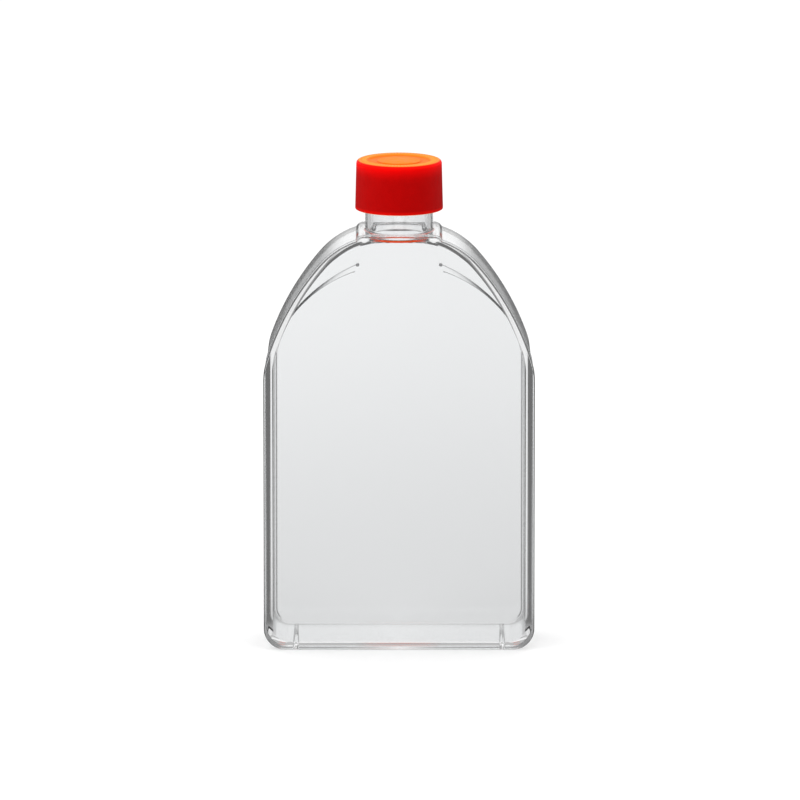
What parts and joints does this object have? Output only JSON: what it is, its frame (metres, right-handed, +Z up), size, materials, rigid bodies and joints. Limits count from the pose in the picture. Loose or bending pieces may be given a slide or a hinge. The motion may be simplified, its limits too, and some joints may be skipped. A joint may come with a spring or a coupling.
{
  "type": "cell culture flask",
  "caption": "Flat clear rectangular bottle with arched shoulders, a short neck, a growth floor ringed by a raised step, and a plug-seal screw cap",
  "frame": {"origin": "middle of the end it stands on, halfway between the cover plate and the floor", "axes": "+Z up along the flask to the cap, -Y out of the cover plate, +Y out of the floor with the growth surface, X across"},
  "size_m": [0.118, 0.04, 0.2138],
  "materials": {
    "clear_polystyrene": "clear, polished",
    "orange_polyethylene": "satin, slightly translucent"
  },
  "bodies": {
    "flask": {"flask_body": "clear_polystyrene", "top_plate": "clear_polystyrene"},
    "cap": {"screw_cap": "orange_polyethylene"}
  },
  "joints": [
    {"name": "cap_lift", "type": "slide", "parent": "flask", "child": "cap", "axis": [0, 0, 1], "range_m": [0, 0.03]}
  ]
}
